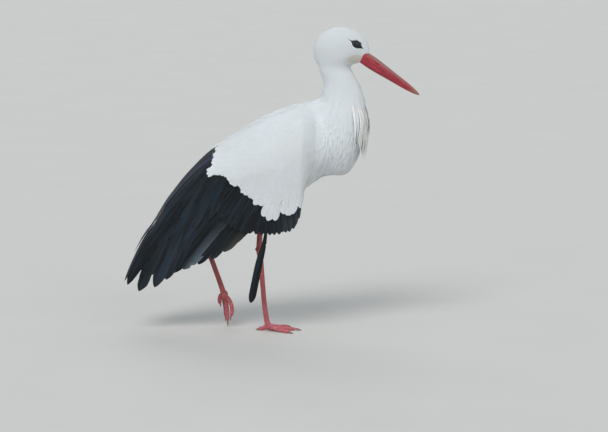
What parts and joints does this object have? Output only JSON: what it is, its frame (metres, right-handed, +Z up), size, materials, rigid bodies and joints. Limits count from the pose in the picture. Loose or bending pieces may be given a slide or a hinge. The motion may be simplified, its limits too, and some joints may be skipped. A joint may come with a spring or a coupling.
{
  "type": "white stork",
  "caption": "Life-size still model of an adult white stork in mid-stride, long bill angled down, folded wings drooping over a short tail, on long bare legs.",
  "frame": {"origin": "on the floor, below the middle of the stork's bounding box", "axes": "+X ahead, towards the bill; +Y to the bird's own left; +Z up"},
  "size_m": [0.7582, 0.2416, 0.7796],
  "materials": {
    "white_feather": "soft matt white plumage",
    "black_feather": "black feather with a faint blue and purple gloss",
    "red_horn": "satin red horn",
    "red_skin": "scaly reddish-pink skin",
    "claw": "dull brownish horn",
    "eye": "wet, very dark brown"
  },
  "bodies": {
    "root": {"head": "white_feather", "neck_upper": "white_feather", "neck_lower": "white_feather", "neck_ruff": "white_feather", "trunk": "white_feather", "tail": "white_feather", "bill_upper": "red_horn", "bill_lower": "red_horn", "eye_right": "eye", "eye_left": "eye", "scapulars_right": "white_feather", "scapulars_left": "white_feather", "wing_coverts_right": "white_feather", "wing_coverts_left": "white_feather", "tertials_right": "black_feather", "tertials_left": "black_feather", "secondaries_right": "black_feather", "secondaries_left": "black_feather", "primaries_right": "black_feather", "primaries_left": "black_feather", "primary_coverts_right": "black_feather", "primary_coverts_left": "black_feather", "loose_feather": "black_feather", "thigh_right": "white_feather", "thigh_left": "white_feather", "tibia_right": "red_skin", "tibia_left": "red_skin", "tarsus_right": "red_skin", "tarsus_left": "red_skin", "toe_middle_right": "red_skin", "toe_inner_right": "red_skin", "toe_outer_right": "red_skin", "toe_hind_right": "red_skin", "toe_middle_left": "red_skin", "toe_inner_left": "red_skin", "toe_outer_left": "red_skin", "toe_hind_left": "red_skin", "claw_middle_right": "claw", "claw_inner_right": "claw", "claw_outer_right": "claw", "claw_hind_right": "claw", "claw_middle_left": "claw", "claw_inner_left": "claw", "claw_outer_left": "claw", "claw_hind_left": "claw"}
  },
  "joints": []
}
